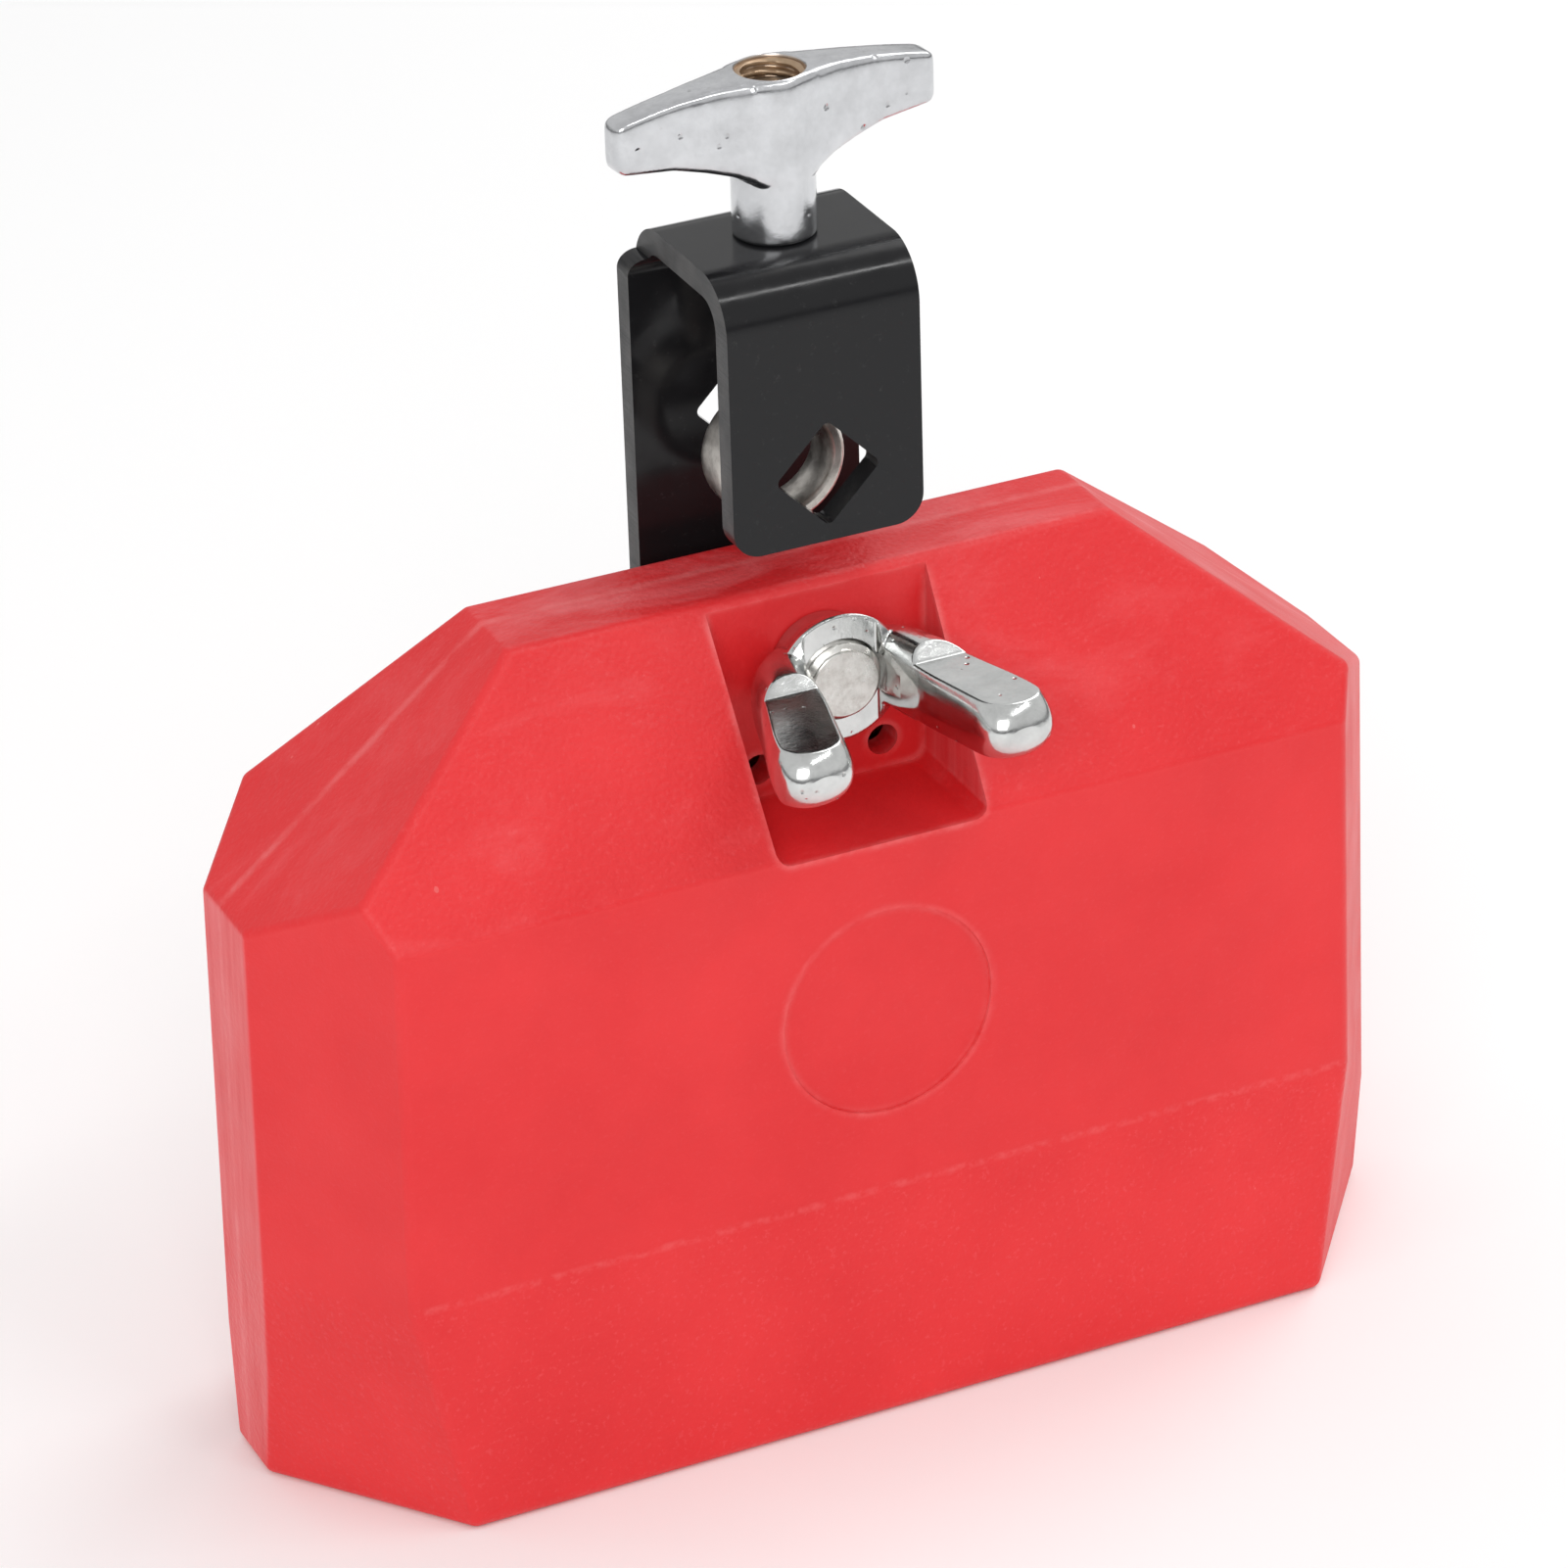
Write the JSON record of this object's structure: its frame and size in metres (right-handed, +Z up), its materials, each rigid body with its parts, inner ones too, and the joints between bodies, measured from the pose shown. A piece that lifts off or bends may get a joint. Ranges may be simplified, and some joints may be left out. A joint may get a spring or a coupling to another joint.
{
  "type": "jam block",
  "caption": "Faceted hollow plastic percussion block with a bolted rod clamp: strap bracket with diamond holes, eye bolt, T-handle nut and wing nut.",
  "frame": {"origin": "centre of the block's underside, on the plane where the two half shells are welded together", "axes": "+Z up through the clamp screw, +X along the block, -Y out of the playing face with the wing nut; rods run along Y"},
  "size_m": [0.1526, 0.0593, 0.1687],
  "materials": {
    "block_plastic": "fine moulded grain, semi-gloss",
    "black_enamel": "gloss black enamel on steel strap",
    "bolt_steel": "zinc-plated, satin",
    "wing_nut_plating": "bright plating over a cast surface",
    "eye_bolt_nickel": "satin nickel, lightly speckled",
    "handle_chrome": "bright chrome over a cast body"
  },
  "bodies": {
    "block": {"front_shell": "block_plastic", "rear_shell": "block_plastic"},
    "clamp": {"clamp_bracket": "black_enamel", "mounting_bolt": "bolt_steel"},
    "wing_nut": {"wing_nut": "wing_nut_plating"},
    "eye_bolt": {"eye_bolt": "eye_bolt_nickel"},
    "t_handle": {"t_handle": "handle_chrome"}
  },
  "joints": [
    {"name": "wing_nut_turn", "type": "hinge", "parent": "block", "child": "wing_nut", "pos_m": [0, -0.0086, 0.0955], "axis": [0, -1, 0], "range_deg": [0, 990]},
    {"name": "clamp_slide", "type": "slide", "parent": "block", "child": "clamp", "axis": [0, 1, 0], "range_m": [0, 0.00413]},
    {"name": "t_handle_turn", "type": "hinge", "parent": "clamp", "child": "t_handle", "pos_m": [0, 0, 0.1479], "axis": [0, 0, 1], "range_deg": [-2448, 1152]},
    {"name": "eye_bolt_slide", "type": "slide", "parent": "clamp", "child": "eye_bolt", "axis": [0, 0, 1], "range_m": [-0.004, 0.0085]}
  ],
  "couplings": [
    {"joint": "wing_nut_turn", "follows": "clamp_slide", "rad_per_m": 4188.8},
    {"joint": "t_handle_turn", "follows": "eye_bolt_slide", "rad_per_m": -5026.5}
  ]
}
